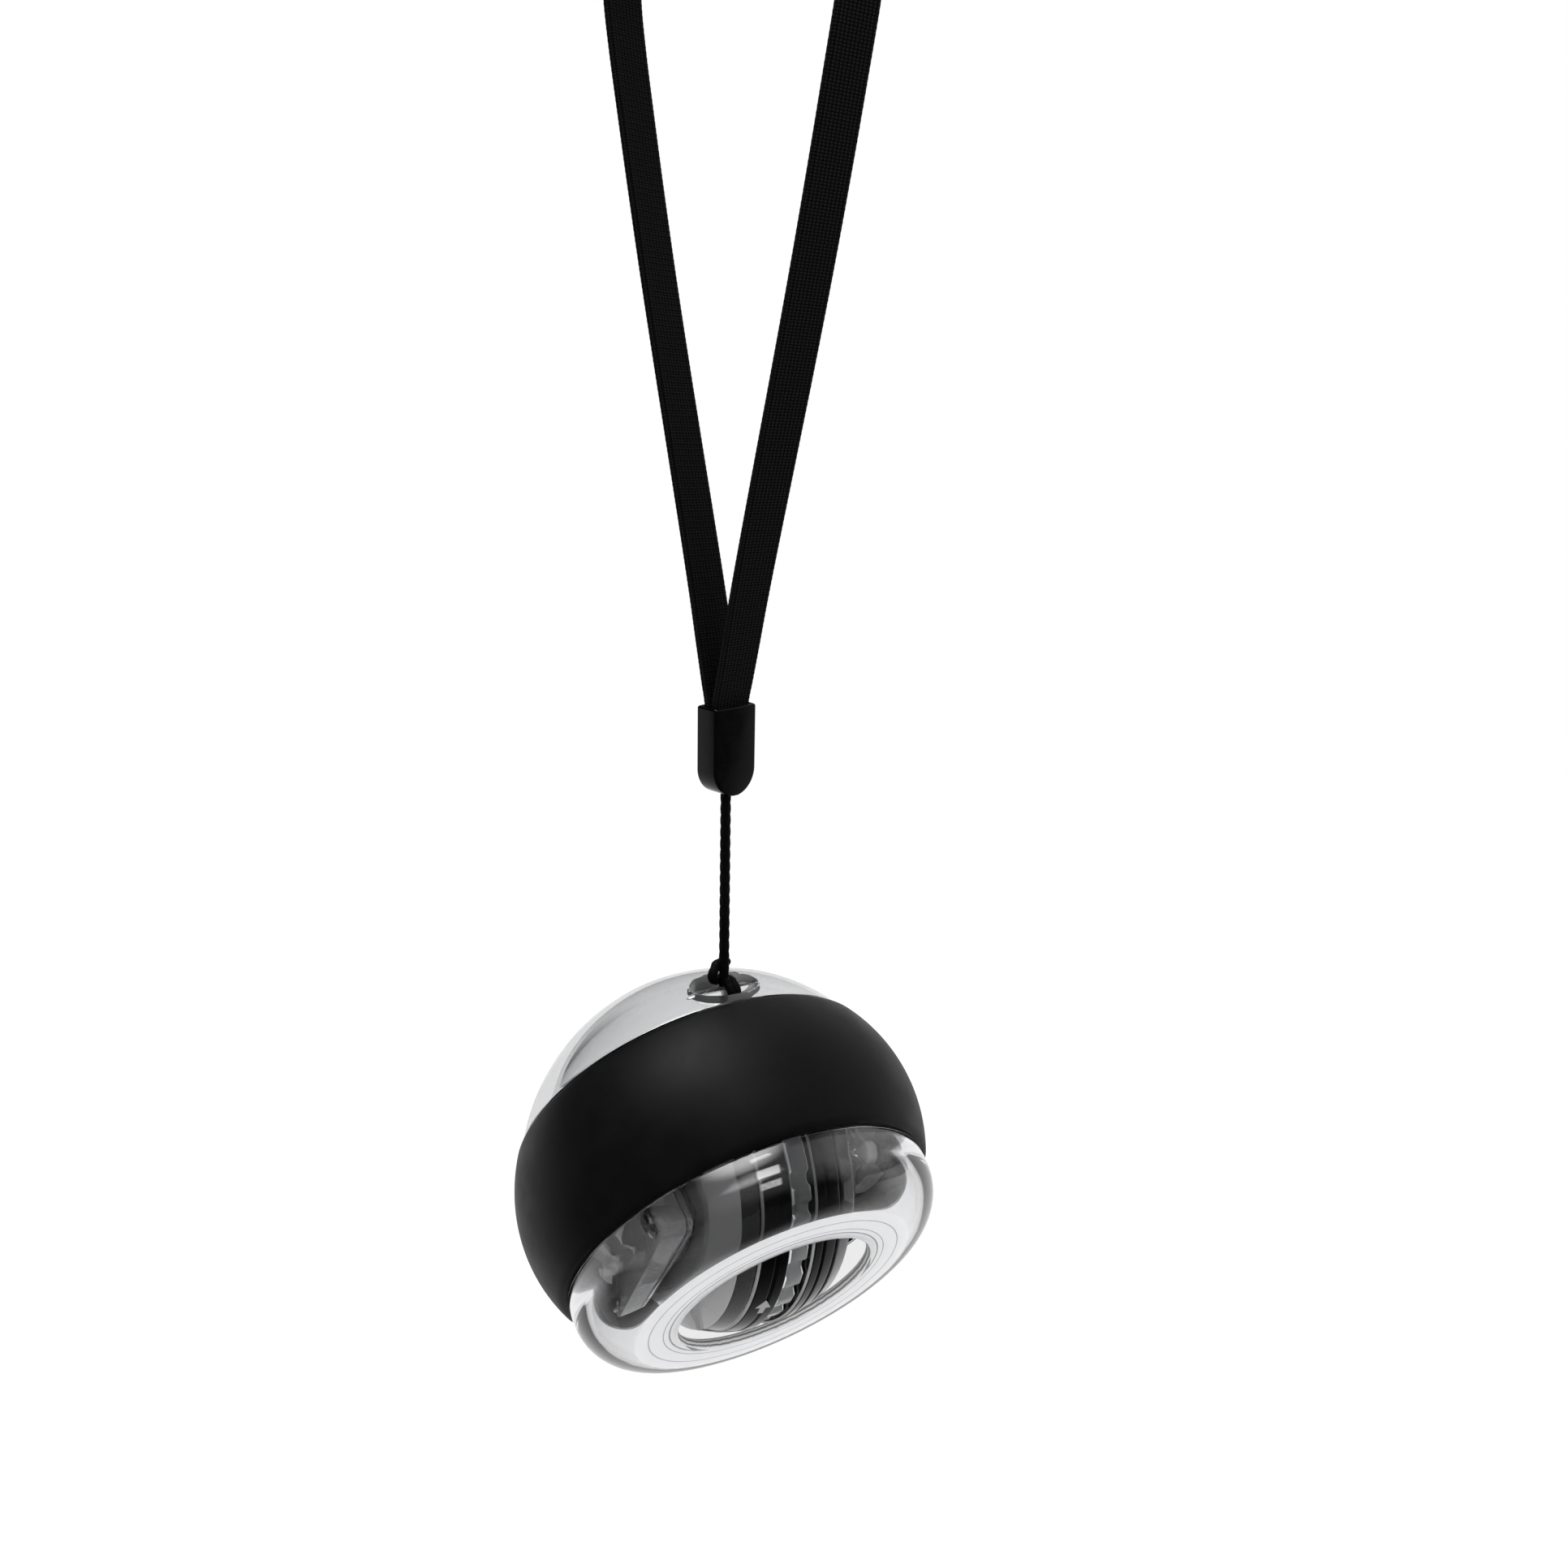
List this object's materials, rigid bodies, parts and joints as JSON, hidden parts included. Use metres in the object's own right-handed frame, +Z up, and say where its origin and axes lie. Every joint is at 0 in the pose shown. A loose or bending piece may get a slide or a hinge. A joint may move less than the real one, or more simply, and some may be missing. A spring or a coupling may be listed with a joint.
{
  "type": "gyroscopic wrist ball",
  "caption": "Clear gyroscopic exercise ball with a rubber grip band, a rotor in a gimbal ring, a wind-up starter and a wrist strap on a short cord.",
  "frame": {"origin": "underside of the strap loop's top, where the wrist or a hook carries the ball; the cord and the ball hang straight below it", "axes": "+Z up along the hanging cord, -Y towards the viewer, +X to the viewer's right; the thumb opening faces down, forward and to the right"},
  "size_m": [0.0654, 0.0645, 0.2244],
  "materials": {
    "clear_plastic": "gloss",
    "smoke_plastic": "gloss",
    "band_rubber": "satin",
    "strap_weave": "matte",
    "cord_black": "matte",
    "cap_black": "gloss",
    "weight_black": "gloss",
    "steel": "satin",
    "brass": "satin",
    "dark_plastic": "satin",
    "white_plastic": "satin"
  },
  "bodies": {
    "strap": {"wrist_strap": "strap_weave", "strap_cap": "cap_black"},
    "cord": {"lanyard_cord": "cord_black"},
    "hitch": {"cord_hitch": "cord_black"},
    "ball": {"dome_shell": "clear_plastic", "opening_shell": "clear_plastic", "grip_band": "band_rubber"},
    "ring": {"gimbal_ring": "white_plastic", "axle_bush_left": "dark_plastic", "axle_bush_right": "dark_plastic", "bearing_block": "smoke_plastic", "starter_housing": "smoke_plastic", "starter_cover": "clear_plastic", "starter_screw_1": "steel", "starter_screw_2": "steel", "starter_screw_3": "steel", "starter_screw_4": "steel", "mainspring": "steel"},
    "starter_hub": {"drive_hub": "white_plastic"},
    "pawl_a": {"pawl_1": "brass"},
    "pawl_b": {"pawl_2": "brass"},
    "pawl_c": {"pawl_3": "brass"},
    "rotor": {"axle": "steel", "rotor_core": "dark_plastic", "weight_ring_left": "weight_black", "weight_ring_right": "weight_black", "groove_ring": "clear_plastic", "rotor_flank_left": "clear_plastic", "rotor_flank_right": "clear_plastic", "ratchet_ring": "brass", "balance_collar": "brass"}
  },
  "joints": [
    {"name": "cord_swing", "type": "hinge", "parent": "strap", "child": "cord", "pos_m": [0, 0, -0.128], "axis": [-0.4848, 0.8746, 0], "range_deg": [-45, 45], "deforming": ["lanyard_cord"]},
    {"name": "cord_twist", "type": "hinge", "parent": "cord", "child": "hitch", "pos_m": [0, 0, -0.1597], "axis": [0, 0, 1], "range_deg": [-180, 180]},
    {"name": "ball_swing", "type": "hinge", "parent": "hitch", "child": "ball", "pos_m": [0, 0, -0.1597], "axis": [0.8746, 0.4848, 0], "range_deg": [-45, 45]},
    {"name": "ring_precession", "type": "hinge", "parent": "ball", "child": "ring", "pos_m": [0.00018, -0.00033, -0.18964], "axis": [0.4071, -0.7345, -0.543], "continuous": true},
    {"name": "rotor_spin", "type": "hinge", "parent": "ring", "child": "rotor", "pos_m": [0.00018, -0.00033, -0.18964], "axis": [0.8524, 0.5191, -0.063], "continuous": true},
    {"name": "spring_wind", "type": "hinge", "parent": "ring", "child": "starter_hub", "pos_m": [0.00018, -0.00033, -0.18964], "axis": [-0.8524, -0.5191, 0.063], "range_deg": [0, 1080], "stiffness_Nm_per_rad": 0.0027, "deforming": ["mainspring"]},
    {"name": "pawl_a_rock", "type": "hinge", "parent": "starter_hub", "child": "pawl_a", "pos_m": [0.00248, -0.00339, -0.18378], "axis": [-0.8524, -0.5191, 0.063], "range_deg": [0, 14]},
    {"name": "pawl_b_rock", "type": "hinge", "parent": "starter_hub", "child": "pawl_b", "pos_m": [0.0015, -0.00325, -0.19587], "axis": [-0.8524, -0.5191, 0.063], "range_deg": [0, 14]},
    {"name": "pawl_c_rock", "type": "hinge", "parent": "starter_hub", "child": "pawl_c", "pos_m": [-0.00343, 0.00565, -0.18928], "axis": [-0.8524, -0.5191, 0.063], "range_deg": [0, 14]}
  ]
}
